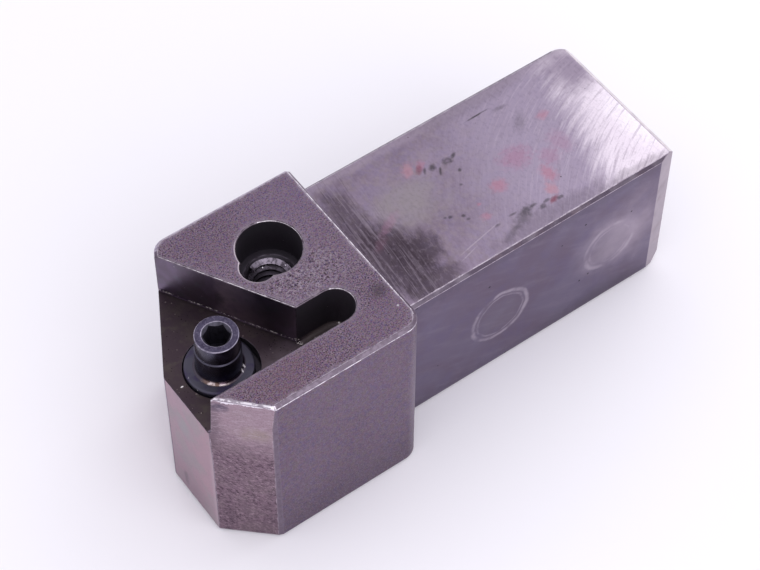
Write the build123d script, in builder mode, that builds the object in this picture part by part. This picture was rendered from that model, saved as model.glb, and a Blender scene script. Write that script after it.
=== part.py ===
from build123d import *
import math
import os

# Turning tool holder for a triangular insert, in millimetres.
# The origin is on the underside, on the shank's centre line, below the head's rear shoulder.
# +X runs from the shank to the nose, +Y to the side on which the head overhangs, +Z up.

# ---- shank: square bar, sawn off behind the head
shank_width = 25.4
shank_height = 25.4
shank_length = 48.7
shank_chamfer = 0.5             # along its four long edges
shank_in_head = 6.0             # how far the bar runs on inside the head
end_top_chamfer = 1.0           # the sawn end is dressed on all four sides
end_foot_chamfer = 1.5
end_bevel_length = 2.85         # bevel on its right upright edge, along the side
end_bevel_depth = 0.95
end_round = 2.5                 # round on its left upright edge

# ---- head: one piece with the shank
head_length = 29.9
head_overhang = 6.05            # past the shank's right side
head_rise = 6.35                # above the shank's top
head_inset = 0.2                # its left side stands this far inside the shank's
head_chamfer = 0.45             # round the top and up the rear left edge
foot_chamfer = 0.5              # round the underside
nose_cut_length = 6.25          # the cut across the front right corner, along the shank
nose_cut_width = 5.9            # and across it
nose_cut_chamfer = 0.35         # on the edge between that cut and the right side
nose_dress_front = 0.6          # its top is dressed back by hand: this far at the front,
nose_dress_side = 0.2           # this far at the side,
nose_dress_drop = 13.5          # starting this far below the top at the front
nose_top_chamfer = 0.2          # on the edge between that dressed face and the top
rear_round = 2.6                # rear right corner
side_round = 2.5                # where the lead face meets the left side
front_round = 1.2               # where the lead face meets the front

# ---- triangular insert: its size and place set the pocket and the lead face
insert_circle = 15.875          # diameter of the insert's inscribed circle
insert_angle = 60.0             # corner of the triangle
insert_back = 6.75              # centre of the insert behind the front face
insert_overhang = 0.65          # the cutting edge stands this far outside the lead face

# ---- pocket
pocket_depth = 7.8
pocket_wall = 6.1               # wall left beside the insert's long side
pocket_chamfer = 0.15           # on the top edges of the pocket, the slot and the clamp bore
wall_foot_round = 0.6           # between the floor and the front wall
groove_rise = 0.5               # clearance groove in the foot of the back wall: above the floor,
groove_sink = 0.3               # below the floor,
groove_depth = 0.3              # and into the wall
slot_width = 5.3                # relief behind the insert's corner
slot_reach = 4.0                # from the insert's corner to the slot's round end

# ---- clamp bore and its tapped hole
clamp_setback = 7.4             # axis behind the pocket's back wall
clamp_shift = 0.25              # axis off the insert's centre line, towards the slot
clamp_bore_radius = 4.45
clamp_bore_depth = 6.2
clamp_notch_radius = 2.4        # side hole that runs into the bore
clamp_notch_reach = 3.45        # from the bore's axis towards the insert
clamp_thread_radius = 3.175
thread_chamfer = 0.4            # at both mouths of a tapped hole

# ---- lock pin
pin_setback = 0.45              # counterbore behind the insert's centre
pin_offset = 0.3                # tapped hole off the counterbore's centre, away from the corner
pin_thread_radius = 3.95
pin_clearance = 0.05            # round the thread
flange_radius = 4.75
flange_thickness = 2.4
flange_stand = 0.5              # flange top above the pocket's floor
flange_edge = 0.35
flange_gap = 0.45               # round the flange in its counterbore
pin_head_height = 6.9           # above the flange
pin_nose_height = 2.85          # upper, slightly thinner part of the head
pin_nose_radius = 2.98
pin_head_radius = 3.14
pin_rim = 0.18                  # round on the top edge
pin_foot_round = 0.4            # between the head and the flange
pin_relief_width = 1.1          # groove between the flange and the thread
pin_relief_radius = 3.3
pin_length_below = 10.5         # flange underside to the lower end
pin_end_chamfer = 0.6
key_size = 3.2                  # hexagon socket, across flats
key_depth = 4.5
key_mouth_radius = 2.08

# ---- worked out from the above
head_height = shank_height + head_rise
shank_side = shank_width / 2
left_side = head_inset - shank_width / 2
right_side = shank_width / 2 + head_overhang
wall_y = right_side - pocket_wall
floor_z = head_height - pocket_depth
insert_x = head_length - insert_back
insert_y = wall_y - insert_circle / 2
half_angle = math.radians(insert_angle / 2)
slope = math.radians(insert_angle)
corner_x = insert_x - insert_circle / 2 / math.tan(half_angle)

# unit vectors in plan: along the back wall, and square to it towards the insert
wall_dir = (math.cos(slope), -math.sin(slope))
wall_out = (math.sin(slope), math.cos(slope))

# the lead face is parallel to the insert's cutting edge, just inside it
lead_distance = insert_circle / 2 - insert_overhang
lead_point_x = insert_x + lead_distance * math.sin(slope)
lead_point_y = insert_y - lead_distance * math.cos(slope)


def lead_x(y):
    return lead_point_x + (y - lead_point_y) / math.tan(slope)


def lead_y(x):
    return lead_point_y + (x - lead_point_x) * math.tan(slope)


clamp_x = insert_x - (insert_circle / 2 + clamp_setback) * wall_out[0] - clamp_shift * wall_dir[0]
clamp_y = insert_y - (insert_circle / 2 + clamp_setback) * wall_out[1] - clamp_shift * wall_dir[1]
notch_x = clamp_x + clamp_notch_reach * wall_out[0]
notch_y = clamp_y + clamp_notch_reach * wall_out[1]
clamp_floor_z = head_height - clamp_bore_depth

seat_x = insert_x - pin_setback
seat_y = insert_y
pin_x = seat_x + pin_offset * math.cos(half_angle)
pin_y = seat_y - pin_offset * math.sin(half_angle)
flange_top_z = floor_z + flange_stand
flange_foot_z = flange_top_z - flange_thickness
pin_top_z = flange_top_z + pin_head_height
pin_end_z = flange_foot_z - pin_length_below
counterbore_radius = flange_radius + flange_gap

rear_left = (0, left_side)
lead_left = (lead_x(left_side), left_side)
lead_front = (head_length, lead_y(head_length))
nose_front = (head_length, right_side - nose_cut_width)
nose_side = (head_length - nose_cut_length, right_side)
rear_right = (0, right_side)


# ---- shank: plain bar, its sawn end dressed on all four sides
with BuildPart() as shank:
    with BuildSketch() as shank_plan:
        with BuildLine():
            Polyline(
                (shank_in_head, -shank_side),
                (-shank_length, -shank_side),
                (-shank_length, shank_side - end_bevel_depth),
                (-shank_length + end_bevel_length, shank_side),
                (shank_in_head, shank_side),
                close=True,
            )
        make_face()
        end_corner = shank_plan.vertices().sort_by_distance((-shank_length, -shank_side))[0]
        fillet(end_corner, end_round)
    extrude(amount=shank_height)

    with BuildSketch(Plane.XZ) as shank_profile:
        with BuildLine():
            Polyline(
                (shank_in_head, 0),
                (shank_in_head, shank_height),
                (-shank_length + end_top_chamfer, shank_height),
                (-shank_length, shank_height - end_top_chamfer),
                (-shank_length, end_foot_chamfer),
                (-shank_length + end_foot_chamfer, 0),
                close=True,
            )
        make_face()
    extrude(amount=shank_width, both=True, mode=Mode.INTERSECT)

    long_edges = shank.edges().filter_by(Axis.X).filter_by(lambda edge: edge.length > shank_length / 2)
    chamfer(long_edges, shank_chamfer)

# ---- holder body: head and shank are milled from one bar
with BuildPart() as holder_body:
    # head, with its upright corners shaped in plan
    with BuildSketch() as head_plan:
        with BuildLine():
            Polyline(rear_left, lead_left, lead_front, nose_front, nose_side, rear_right, close=True)
        make_face()
        for corner, length in ((rear_left, head_chamfer), (nose_side, nose_cut_chamfer)):
            chamfer(head_plan.vertices().sort_by_distance(corner)[0], length)
        for corner, radius in ((lead_left, side_round), (lead_front, front_round), (rear_right, rear_round)):
            fillet(head_plan.vertices().sort_by_distance(corner)[0], radius)
    extrude(amount=head_height)

    # the nose cut's upper part, dressed back
    cut_run = Vector(nose_side[0] - nose_front[0], nose_side[1] - nose_front[1], 0).normalized()
    cut_in = Vector(-cut_run.Y, cut_run.X, 0)
    dress_foot = Vector(*nose_front, head_height - nose_dress_drop)
    dress_front = Vector(*nose_front, head_height) + cut_in * nose_dress_front
    dress_side = Vector(*nose_side, head_height) + cut_in * nose_dress_side
    dress_up = (dress_front - dress_foot).cross(dress_side - dress_foot)
    split(bisect_by=Plane(origin=dress_foot, z_dir=dress_up), keep=Keep.TOP)

    foot_edges = holder_body.faces().sort_by(Axis.Z)[0].edges()
    chamfer(foot_edges, foot_chamfer)
    rim_edges = holder_body.faces().sort_by(Axis.Z)[-1].edges()
    nose_middle = ((nose_front[0] + nose_side[0]) / 2, (nose_front[1] + nose_side[1]) / 2, head_height)
    nose_edge = rim_edges.sort_by_distance(nose_middle)[0]
    chamfer([edge for edge in rim_edges if edge != nose_edge], head_chamfer)
    nose_edge = holder_body.faces().sort_by(Axis.Z)[-1].edges().sort_by_distance(nose_middle)[0]
    chamfer(nose_edge, nose_top_chamfer)

    add(shank.part)

    # pocket, open to the front and to the lead face
    far = head_length + head_height
    with BuildSketch(Plane.XY.offset(floor_z)) as pocket_plan:
        with BuildLine():
            Polyline(
                (corner_x, wall_y),
                (corner_x + far * wall_dir[0], wall_y + far * wall_dir[1]),
                (corner_x + far, wall_y + far * wall_dir[1]),
                (corner_x + far, wall_y),
                close=True,
            )
        make_face()
        # relief slot behind the insert's corner, as deep as the pocket
        slot_round_x = corner_x - slot_reach + slot_width / 2
        with BuildLine():
            Polyline(
                (slot_round_x, wall_y - slot_width),
                (corner_x + slot_width, wall_y - slot_width),
                (corner_x + slot_width, wall_y),
                (slot_round_x, wall_y),
            )
            ThreePointArc(
                (slot_round_x, wall_y),
                (corner_x - slot_reach, wall_y - slot_width / 2),
                (slot_round_x, wall_y - slot_width),
            )
        make_face()
    extrude(amount=head_rise + pocket_depth, mode=Mode.SUBTRACT)

    # bore for the top clamp, with its side notch
    with BuildSketch(Plane.XY.offset(clamp_floor_z)) as clamp_plan:
        with Locations((clamp_x, clamp_y)):
            Circle(clamp_bore_radius)
        with Locations((notch_x, notch_y)):
            Circle(clamp_notch_radius)
    extrude(amount=clamp_bore_depth, mode=Mode.SUBTRACT)

    # the top edges of pocket, slot and clamp bore are broken
    outline = head_plan.wire().moved(Location((0, 0, head_height)))
    top_face = holder_body.faces().filter_by(Plane.XY).sort_by(Axis.Z)[-1]
    inner_edges = top_face.edges().filter_by(
        lambda edge: outline.distance_to(edge.center()) > head_chamfer + pocket_chamfer
    )
    chamfer(inner_edges, pocket_chamfer)

    # small round at the foot of the front wall and the slot
    foot_of_wall = holder_body.edges().sort_by_distance((insert_x, wall_y, floor_z))[0]
    fillet(foot_of_wall, wall_foot_round)

    # clearance groove cut into the foot of the back wall
    groove_start = slot_width / math.sin(slope)
    groove_corners = [
        (corner_x + run * wall_dir[0] + step * wall_out[0], wall_y + run * wall_dir[1] + step * wall_out[1])
        for run, step in ((groove_start, 0), (far, 0), (far, -groove_depth), (groove_start, -groove_depth))
    ]
    with BuildSketch(Plane.XY.offset(floor_z - groove_sink)):
        Polygon(*groove_corners, align=None)
    extrude(amount=groove_sink + groove_rise, mode=Mode.SUBTRACT)

    # tapped hole for the clamp's screw, right through
    with Locations((clamp_x, clamp_y, clamp_floor_z)):
        Hole(clamp_thread_radius)

    # counterbore for the pin's flange, and the pin's tapped hole, right through
    with Locations((seat_x, seat_y, floor_z)):
        Hole(counterbore_radius, depth=floor_z - flange_foot_z)
    with Locations((pin_x, pin_y, flange_foot_z)):
        Hole(pin_thread_radius + pin_clearance)

    round_edges = holder_body.edges().filter_by(GeomType.CIRCLE)
    clamp_mouths = round_edges.filter_by(lambda edge: abs(edge.radius - clamp_thread_radius) < 0.001)
    pin_mouth = round_edges.filter_by(
        lambda edge: abs(edge.radius - pin_thread_radius - pin_clearance) < 0.001
    ).sort_by(Axis.Z)[0]
    chamfer(clamp_mouths + [pin_mouth], thread_chamfer)

# ---- lock pin: turned in one piece, hexagon socket in its top
with BuildPart() as lock_pin:
    pin_axis = Axis((pin_x, pin_y, 0), (0, 0, 1))
    pin_half = Plane(origin=(pin_x, pin_y, 0), x_dir=(1, 0, 0), z_dir=(0, -1, 0))
    relief_foot_z = flange_foot_z - pin_relief_width
    nose_foot_z = pin_top_z - pin_nose_height
    thread_step = pin_thread_radius - pin_relief_radius
    with BuildSketch(pin_half) as pin_profile:
        with BuildLine():
            Polyline(
                (0, pin_end_z),
                (pin_thread_radius - pin_end_chamfer, pin_end_z),
                (pin_thread_radius, pin_end_z + pin_end_chamfer),
                (pin_thread_radius, relief_foot_z),
                (pin_relief_radius, relief_foot_z + thread_step),
                (pin_relief_radius, flange_foot_z),
                (flange_radius, flange_foot_z),
                (flange_radius, flange_top_z),
                (pin_head_radius, flange_top_z),
                (pin_head_radius, nose_foot_z - (pin_head_radius - pin_nose_radius)),
                (pin_nose_radius, nose_foot_z),
                (pin_nose_radius, pin_top_z),
                (0, pin_top_z),
                close=True,
            )
        make_face()
        for corner, radius in (
            ((flange_radius, flange_top_z), flange_edge),
            ((pin_head_radius, flange_top_z), pin_foot_round),
            ((pin_nose_radius, pin_top_z), pin_rim),
        ):
            fillet(pin_profile.vertices().sort_by_distance(corner)[0], radius)
    revolve(axis=pin_axis)

    with BuildSketch(Plane.XY.offset(pin_top_z)) as key_socket:
        with Locations((pin_x, pin_y)):
            RegularPolygon(key_size / 2, side_count=6, major_radius=False, rotation=30)
    extrude(amount=-key_depth, mode=Mode.SUBTRACT)
    with Locations((pin_x, pin_y, pin_top_z)):
        Cone(
            0,
            key_mouth_radius,
            key_mouth_radius,
            align=(Align.CENTER, Align.CENTER, Align.MAX),
            mode=Mode.SUBTRACT,
        )

# ---- written out, one file for each piece
os.makedirs("parts", exist_ok=True)
holder_body.part.label = "holder_body"
export_step(holder_body.part, "parts/holder_body.step")
lock_pin.part.label = "lock_pin"
export_step(lock_pin.part, "parts/lock_pin.step")
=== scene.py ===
import math

import bmesh
import bpy
import numpy as np
from mathutils import Matrix, Vector


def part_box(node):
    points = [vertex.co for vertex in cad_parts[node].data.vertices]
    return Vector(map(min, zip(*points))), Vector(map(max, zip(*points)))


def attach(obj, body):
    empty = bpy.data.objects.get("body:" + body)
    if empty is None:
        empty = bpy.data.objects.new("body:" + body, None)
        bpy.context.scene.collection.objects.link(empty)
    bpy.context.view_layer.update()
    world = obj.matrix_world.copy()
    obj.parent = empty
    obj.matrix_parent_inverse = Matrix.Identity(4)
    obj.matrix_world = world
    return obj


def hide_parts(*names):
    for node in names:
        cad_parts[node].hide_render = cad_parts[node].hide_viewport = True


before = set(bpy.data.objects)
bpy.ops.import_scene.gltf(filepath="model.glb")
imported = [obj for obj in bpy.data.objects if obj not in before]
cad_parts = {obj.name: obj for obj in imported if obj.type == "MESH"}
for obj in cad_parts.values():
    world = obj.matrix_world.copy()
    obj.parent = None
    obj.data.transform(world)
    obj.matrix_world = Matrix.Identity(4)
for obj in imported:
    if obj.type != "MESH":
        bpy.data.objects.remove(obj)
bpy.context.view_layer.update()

# ---- holder body
# Head and square shank, milled from one bar of tool steel, hardened and blackened.
# Its faces are ground, milled or left grained, and the black is worn off along the edges.
MM = 0.001
HEAD_TOP = 31.75
SHANK_TOP = 25.4
SHANK_SIDE = 12.7
HEAD_SIDE = 18.75
FRONT = 29.9
POCKET_FLOOR = 23.95
HEAD_LEFT = 12.5
SAWN_END = 48.7
FRONT_WALL = 12.8
SLOT_FAR, SLOT_NEAR = 5, 14.7
SHARP = math.radians(20)
FLAT = math.radians(0.2)
WELD = 0.002
SAME_POINT = 1e-7
WORN_WIDTH = 0.07
HEAD_GRID = 0.5
SHANK_GRID = 1.5


def solid_copy(node):
    """A CAD node's surface as one closed mesh with whole flat faces."""
    bm = bmesh.new()
    bm.from_mesh(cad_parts[node].data)
    bmesh.ops.remove_doubles(bm, verts=bm.verts, dist=WELD * MM)
    bmesh.ops.dissolve_limit(bm, angle_limit=FLAT, verts=bm.verts, edges=bm.edges)
    return bm


def grid_cuts(bm):
    """Cuts every face along planes, close together over the head, so that values along it can vary."""
    low, high = (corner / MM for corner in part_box("holder_body"))
    places = [
        [*np.arange(low.x + SHANK_GRID, 0, SHANK_GRID), *np.arange(HEAD_GRID / 2, high.x, HEAD_GRID)],
        np.arange(low.y + HEAD_GRID, high.y, HEAD_GRID),
        np.arange(low.z + HEAD_GRID, high.z, HEAD_GRID),
    ]
    for axis in range(3):
        side = Vector((0, 0, 0))
        side[axis] = 1
        for place in places[axis]:
            bmesh.ops.bisect_plane(
                bm, geom=bm.verts[:] + bm.edges[:] + bm.faces[:], dist=SAME_POINT,
                plane_co=side * place * MM, plane_no=side,
            )


def mesh_object(name, bm, materials, body):
    mesh = bpy.data.meshes.new(name)
    bm.to_mesh(mesh)
    bm.free()
    piece = bpy.data.objects.new(name, mesh)
    bpy.context.scene.collection.objects.link(piece)
    for material in materials:
        mesh.materials.append(material)
    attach(piece, body)
    return piece


def edge_distances(points, edges):
    """Distance in mm from each point to the nearest of the edges."""
    nearest = np.full(len(points), np.inf)
    for start, end in edges:
        run = end - start
        along = np.clip(((points - start) @ run) / max(run @ run, 1e-12), 0, 1)
        nearest = np.minimum(nearest, np.linalg.norm(points - start - along[:, None] * run, axis=1))
    return nearest / MM


class Nodes:
    """A tree of shader nodes, with the sums and noises that the finishes are built from."""

    def __init__(self, tree):
        self.tree = tree

    def add(self, kind):
        return self.tree.nodes.new(kind)

    def link(self, value, socket):
        self.tree.links.new(value, socket)

    def put(self, socket, value):
        """Sets a socket to a plain value, or links it to another node's output."""
        if isinstance(value, (int, float, tuple)):
            socket.default_value = value
        elif value is not None:
            self.link(value, socket)

    def math(self, operation, a, b=None):
        node = self.add("ShaderNodeMath")
        node.operation = operation
        self.put(node.inputs[0], a)
        self.put(node.inputs[1], b)
        return node.outputs[0]

    def times(self, a, b):
        return self.math("MULTIPLY", a, b)

    def plus(self, a, b):
        return self.math("ADD", a, b)

    def minus(self, a, b):
        return self.math("SUBTRACT", a, b)

    def outside(self, mask):
        return self.minus(1.0, mask)

    def swing(self, value, size):
        """Turns a value round 0.5 into one round 0."""
        return self.times(self.minus(value, 0.5), size)

    def vector(self, operation, a, b=None, out=0):
        node = self.add("ShaderNodeVectorMath")
        node.operation = operation
        self.put(node.inputs[0], a)
        self.put(node.inputs[1], b)
        return node.outputs[out]

    def split(self, place):
        """The X, Y and Z of a place."""
        node = self.add("ShaderNodeSeparateXYZ")
        self.link(place, node.inputs["Vector"])
        return node.outputs

    def noise(self, place, scale, detail=3.0, roughness=0.55, distortion=0.0):
        node = self.add("ShaderNodeTexNoise")
        self.link(place, node.inputs["Vector"])
        for socket, value in zip(("Scale", "Detail", "Roughness", "Distortion"),
                                 (scale, detail, roughness, distortion)):
            self.put(node.inputs[socket], value)
        return node.outputs["Fac"]

    def steps(self, value, low, high):
        """0 below low, 1 above high, and a smooth step between them."""
        node = self.add("ShaderNodeMapRange")
        node.interpolation_type = "SMOOTHSTEP"
        for socket, limit in (("Value", value), ("From Min", low), ("From Max", high)):
            self.put(node.inputs[socket], limit)
        return node.outputs["Result"]


def group(name, inputs, outputs):
    """An empty shader node group with named value and vector sockets."""
    tree = bpy.data.node_groups.new(name, "ShaderNodeTree")
    kinds = {"v": "NodeSocketFloat", "p": "NodeSocketVector"}
    for socket, kind, value in inputs:
        item = tree.interface.new_socket(socket, in_out="INPUT", socket_type=kinds[kind])
        if value is not None:
            item.default_value = value
    for socket in outputs:
        tree.interface.new_socket(socket, in_out="OUTPUT", socket_type=kinds["v"])
    return Nodes(tree), tree.nodes.new("NodeGroupInput").outputs, tree.nodes.new("NodeGroupOutput").inputs


# a soft-edged patch round a centre, with a ragged outline
patch_group, given, gives = group(
    "patch",
    [("Place", "p", None), ("Centre", "p", (0, 0, 0)), ("Radii", "p", (1, 1, 1)), ("Softness", "v", 0.4),
     ("Ragged", "v", 0.3), ("Ragged Scale", "v", 0.6)],
    ["Mask"],
)
apart = patch_group.vector("SUBTRACT", given["Place"], given["Centre"])
apart = patch_group.vector("DIVIDE", apart, given["Radii"])
reach = patch_group.vector("LENGTH", apart, out="Value")
wobble = patch_group.noise(given["Place"], given["Ragged Scale"], 4)
wobble = patch_group.swing(wobble, given["Ragged"])
reach = patch_group.plus(reach, wobble)
inner = patch_group.outside(given["Softness"])
filled = patch_group.steps(reach, inner, 1.0)
patch_group.link(patch_group.outside(filled), gives["Mask"])

# soft clouds: a noise between two levels
cloud_group, given, gives = group(
    "clouds",
    [("Place", "p", None), ("Scale", "v", 1.0), ("Detail", "v", 3.0), ("Roughness", "v", 0.55),
     ("Distortion", "v", 0.0), ("Low", "v", 0.4), ("High", "v", 0.6)],
    ["Mask"],
)
cloud = cloud_group.noise(given["Place"], given["Scale"], given["Detail"], given["Roughness"],
                          given["Distortion"])
cloud_group.link(cloud_group.steps(cloud, given["Low"], given["High"]), gives["Mask"])

# fine grain of a blackened surface: dark pits, light crests and a height
grain_group, given, gives = group(
    "grain",
    [("Place", "p", None), ("Scale", "v", 3.0), ("Pitted", "v", 0.5)],
    ["Pits", "Crests", "Height"],
)
cells = grain_group.add("ShaderNodeTexVoronoi")
grain_group.link(given["Place"], cells.inputs["Vector"])
grain_group.link(grain_group.times(given["Scale"], 1.2), cells.inputs["Scale"])
rough_grain = grain_group.noise(given["Place"], given["Scale"], 3, 0.6)
blend = grain_group.plus(grain_group.times(cells.outputs["Distance"], 0.25), rough_grain)
deep = grain_group.plus(0.42, grain_group.times(given["Pitted"], 0.3))
shallow = grain_group.minus(deep, 0.14)
grain_group.link(grain_group.outside(grain_group.steps(blend, shallow, deep)), gives["Pits"])
grain_group.link(grain_group.steps(blend, 0.62, 0.78), gives["Crests"])
grain_group.link(blend, gives["Height"])

# scratches: a noise drawn out along one direction, of which the crests show
scratch_group, given, gives = group(
    "scratches",
    [("Place", "p", None), ("Turn", "v", 0.0), ("Fineness", "v", 4.0), ("Length", "v", 12.0),
     ("Bow", "v", 0.0), ("Least", "v", 0.62), ("Most", "v", 0.75)],
    ["Mask", "Height"],
)
turned = scratch_group.add("ShaderNodeVectorRotate")
turned.rotation_type = "Z_AXIS"
scratch_group.link(given["Place"], turned.inputs["Vector"])
scratch_group.link(given["Turn"], turned.inputs["Angle"])
parts = scratch_group.split(turned.outputs["Vector"])
bowed = scratch_group.times(scratch_group.times(parts["X"], parts["X"]), given["Bow"])
across = scratch_group.plus(parts["Y"], bowed)
joined = scratch_group.add("ShaderNodeCombineXYZ")
scratch_group.link(scratch_group.math("DIVIDE", parts["X"], given["Length"]), joined.inputs["X"])
scratch_group.link(across, joined.inputs["Y"])
scratch_group.link(parts["Z"], joined.inputs["Z"])
streaks = scratch_group.noise(joined.outputs["Vector"], given["Fineness"], 4, 0.7)
scratch_group.link(scratch_group.steps(streaks, given["Least"], given["Most"]), gives["Mask"])
scratch_group.link(streaks, gives["Height"])

# small specks, each in its own cell
speck_group, given, gives = group(
    "specks",
    [("Place", "p", None), ("Scale", "v", 1.0), ("Size", "v", 0.15), ("Share", "v", 0.3)],
    ["Mask"],
)
cells = speck_group.add("ShaderNodeTexVoronoi")
speck_group.link(given["Place"], cells.inputs["Vector"])
speck_group.link(given["Scale"], cells.inputs["Scale"])
chosen = speck_group.add("ShaderNodeSeparateColor")
speck_group.link(cells.outputs["Color"], chosen.inputs["Color"])
own_size = speck_group.times(given["Size"], chosen.outputs["Green"])
spot = speck_group.math("LESS_THAN", cells.outputs["Distance"], own_size)
kept = speck_group.math("LESS_THAN", chosen.outputs["Red"], given["Share"])
speck_group.link(speck_group.times(spot, kept), gives["Mask"])

# wear along an edge, from the distance to it
wear_group, given, gives = group(
    "edge wear",
    [("Place", "p", None), ("Distance", "v", 5.0), ("Width", "v", 0.3), ("Patchy", "v", 0.5)],
    ["Mask"],
)
coarse = wear_group.noise(given["Place"], 0.7, 4, 0.6)
fine = wear_group.noise(given["Place"], 5.0, 3, 0.6)
uneven = wear_group.plus(wear_group.times(coarse, 1.3), wear_group.times(fine, 0.7))
uneven = wear_group.minus(uneven, 1.0)
wide = wear_group.plus(1.0, wear_group.times(wear_group.times(uneven, given["Patchy"]), 4.0))
wide = wear_group.times(wide, given["Width"])
share = wear_group.math("DIVIDE", given["Distance"], wear_group.math("MAXIMUM", wide, 0.02))
wear_group.link(wear_group.outside(wear_group.steps(share, 0.5, 1.2)), gives["Mask"])

# crumbs of chips and dried oil, lying in a line along an inside corner
crumb_group, given, gives = group(
    "crumbs",
    [("Place", "p", None), ("Distance", "v", 5.0), ("Width", "v", 0.2)],
    ["Mask"],
)
near = crumb_group.math("LESS_THAN", given["Distance"], given["Width"])
heaped = crumb_group.steps(crumb_group.noise(given["Place"], 0.8, 3, 0.6), 0.36, 0.48)
dotted = crumb_group.steps(crumb_group.noise(given["Place"], 2.6, 3, 0.6), 0.5, 0.56)
crumb_group.link(crumb_group.times(near, crumb_group.times(heaped, dotted)), gives["Mask"])


class Steel(Nodes):
    """A steel finish laid down in layers: colours and roughness over a base, and bumps."""

    def __init__(self, name, colour, roughness, metallic=1.0):
        self.material = bpy.data.materials.new(name)
        self.material.use_nodes = True
        super().__init__(self.material.node_tree)
        self.shader = self.tree.nodes["Principled BSDF"]
        coordinates = self.add("ShaderNodeTexCoord").outputs["Object"]
        self.place = self.vector("MULTIPLY", coordinates, (1 / MM, 1 / MM, 1 / MM))
        self.colour = (*colour, 1)
        self.roughness = roughness
        self.metallic = metallic
        self.normal = None

    def effect(self, effect_group, place=None, **values):
        """One of the shared effects, with this finish's own values."""
        node = self.add("ShaderNodeGroup")
        node.node_tree = effect_group.tree
        self.link(place or self.place, node.inputs["Place"])
        for socket, value in values.items():
            self.put(node.inputs[socket.replace("_", " ")], value)
        return node.outputs

    def clouds(self, scale, low, high, detail=3.0, roughness=0.55, distortion=0.0, place=None):
        return self.effect(cloud_group, place, Scale=scale, Detail=detail, Roughness=roughness,
                           Distortion=distortion, Low=low, High=high)["Mask"]

    def patch(self, centre, radii, softness=0.4, ragged=0.3, ragged_scale=0.6, place=None):
        return self.effect(patch_group, place, Centre=centre, Radii=radii, Softness=softness, Ragged=ragged,
                           Ragged_Scale=ragged_scale)["Mask"]

    def scratches(self, turn, fineness, length, least=0.62, most=0.75, bow=0.0, place=None):
        return self.effect(scratch_group, place, Turn=turn, Fineness=fineness, Length=length, Bow=bow,
                           Least=least, Most=most)

    def specks(self, scale, size, share):
        return self.effect(speck_group, Scale=scale, Size=size, Share=share)["Mask"]

    def grain(self, scale, pitted):
        return self.effect(grain_group, Scale=scale, Pitted=pitted)

    def wear(self, distances, width, patchy):
        return self.effect(wear_group, Distance=self.attribute(distances), Width=width, Patchy=patchy)["Mask"]

    def on_face(self, across, up):
        """Coordinates in the plane of a face, in mm: across it, up it and out of it."""
        out = Vector(across).cross(Vector(up))
        joined = self.add("ShaderNodeCombineXYZ")
        for socket, way in zip(joined.inputs, (across, up, out)):
            self.link(self.vector("DOT_PRODUCT", self.place, tuple(way), out="Value"), socket)
        return joined.outputs["Vector"]

    def attribute(self, name):
        node = self.add("ShaderNodeAttribute")
        node.attribute_name = name
        return node.outputs["Fac"]

    def lay(self, mask, colour, roughness=None, strength=1.0, dull=False):
        """Lays a colour, and a roughness if given, over what is there. Dull is non-metallic: bare dirt or
        chips, and painted glints.
        """
        if strength != 1.0:
            mask = self.times(mask, strength)
        mix = self.add("ShaderNodeMix")
        mix.data_type = "RGBA"
        for socket, value in zip((mix.inputs[0], mix.inputs[6], mix.inputs[7]),
                                 (mask, self.colour, (*colour, 1))):
            self.put(socket, value)
        self.colour = mix.outputs[2]
        if roughness is not None:
            self.roughness = self.mixed(mask, self.roughness, roughness)
        if dull:
            self.metallic = self.mixed(mask, self.metallic, 0.0)

    def mixed(self, mask, a, b):
        mix = self.add("ShaderNodeMix")
        for socket, value in zip((mix.inputs[0], mix.inputs[2], mix.inputs[3]), (mask, a, b)):
            self.put(socket, value)
        return mix.outputs[0]

    def bump(self, height, strength, depth):
        node = self.add("ShaderNodeBump")
        node.inputs["Strength"].default_value = strength
        node.inputs["Distance"].default_value = depth * MM
        self.link(height, node.inputs["Height"])
        self.put(node.inputs["Normal"], self.normal)
        self.normal = node.outputs["Normal"]

    def done(self):
        self.put(self.shader.inputs["Base Color"], self.colour)
        self.put(self.shader.inputs["Roughness"], self.roughness)
        self.put(self.shader.inputs["Metallic"], self.metallic)
        self.put(self.shader.inputs["Normal"], self.normal)
        return self.material


finishes = {}
ALONG = (1, 0, 0)
ACROSS = (0, 1, 0)
UP = (0, 0, 1)
# how far a patch reaches into the face that it lies on: further than anything there
DEEP = 50


def finish(name, build, colour, roughness, metallic=1.0):
    steel = Steel(name, colour, roughness, metallic)
    build(steel)
    finishes[name] = steel.done()


def shades(s, scale, colours, strength):
    """Cloudy tints of the blackening, one over the other."""
    for step, colour in enumerate(colours):
        moved = s.vector("ADD", s.place, (7.3 * step, 3.1 * step, 5.7 * step))
        s.lay(s.clouds(scale * (1 + 0.6 * step), 0.47, 0.6, place=moved), colour, strength=strength)


def edge_wear(s, width, colour, patchy, roughness=0.3, strength=1.0):
    s.lay(s.wear("edge_mm", width, patchy), colour, roughness, strength)


def crumbs(s, width, strength):
    """Chips and dried oil along the inside corners."""
    s.lay(s.effect(crumb_group, Distance=s.attribute("hollow_mm"), Width=width)["Mask"], (0.85, 0.78, 0.76),
          0.6, strength, dull=True)


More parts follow.
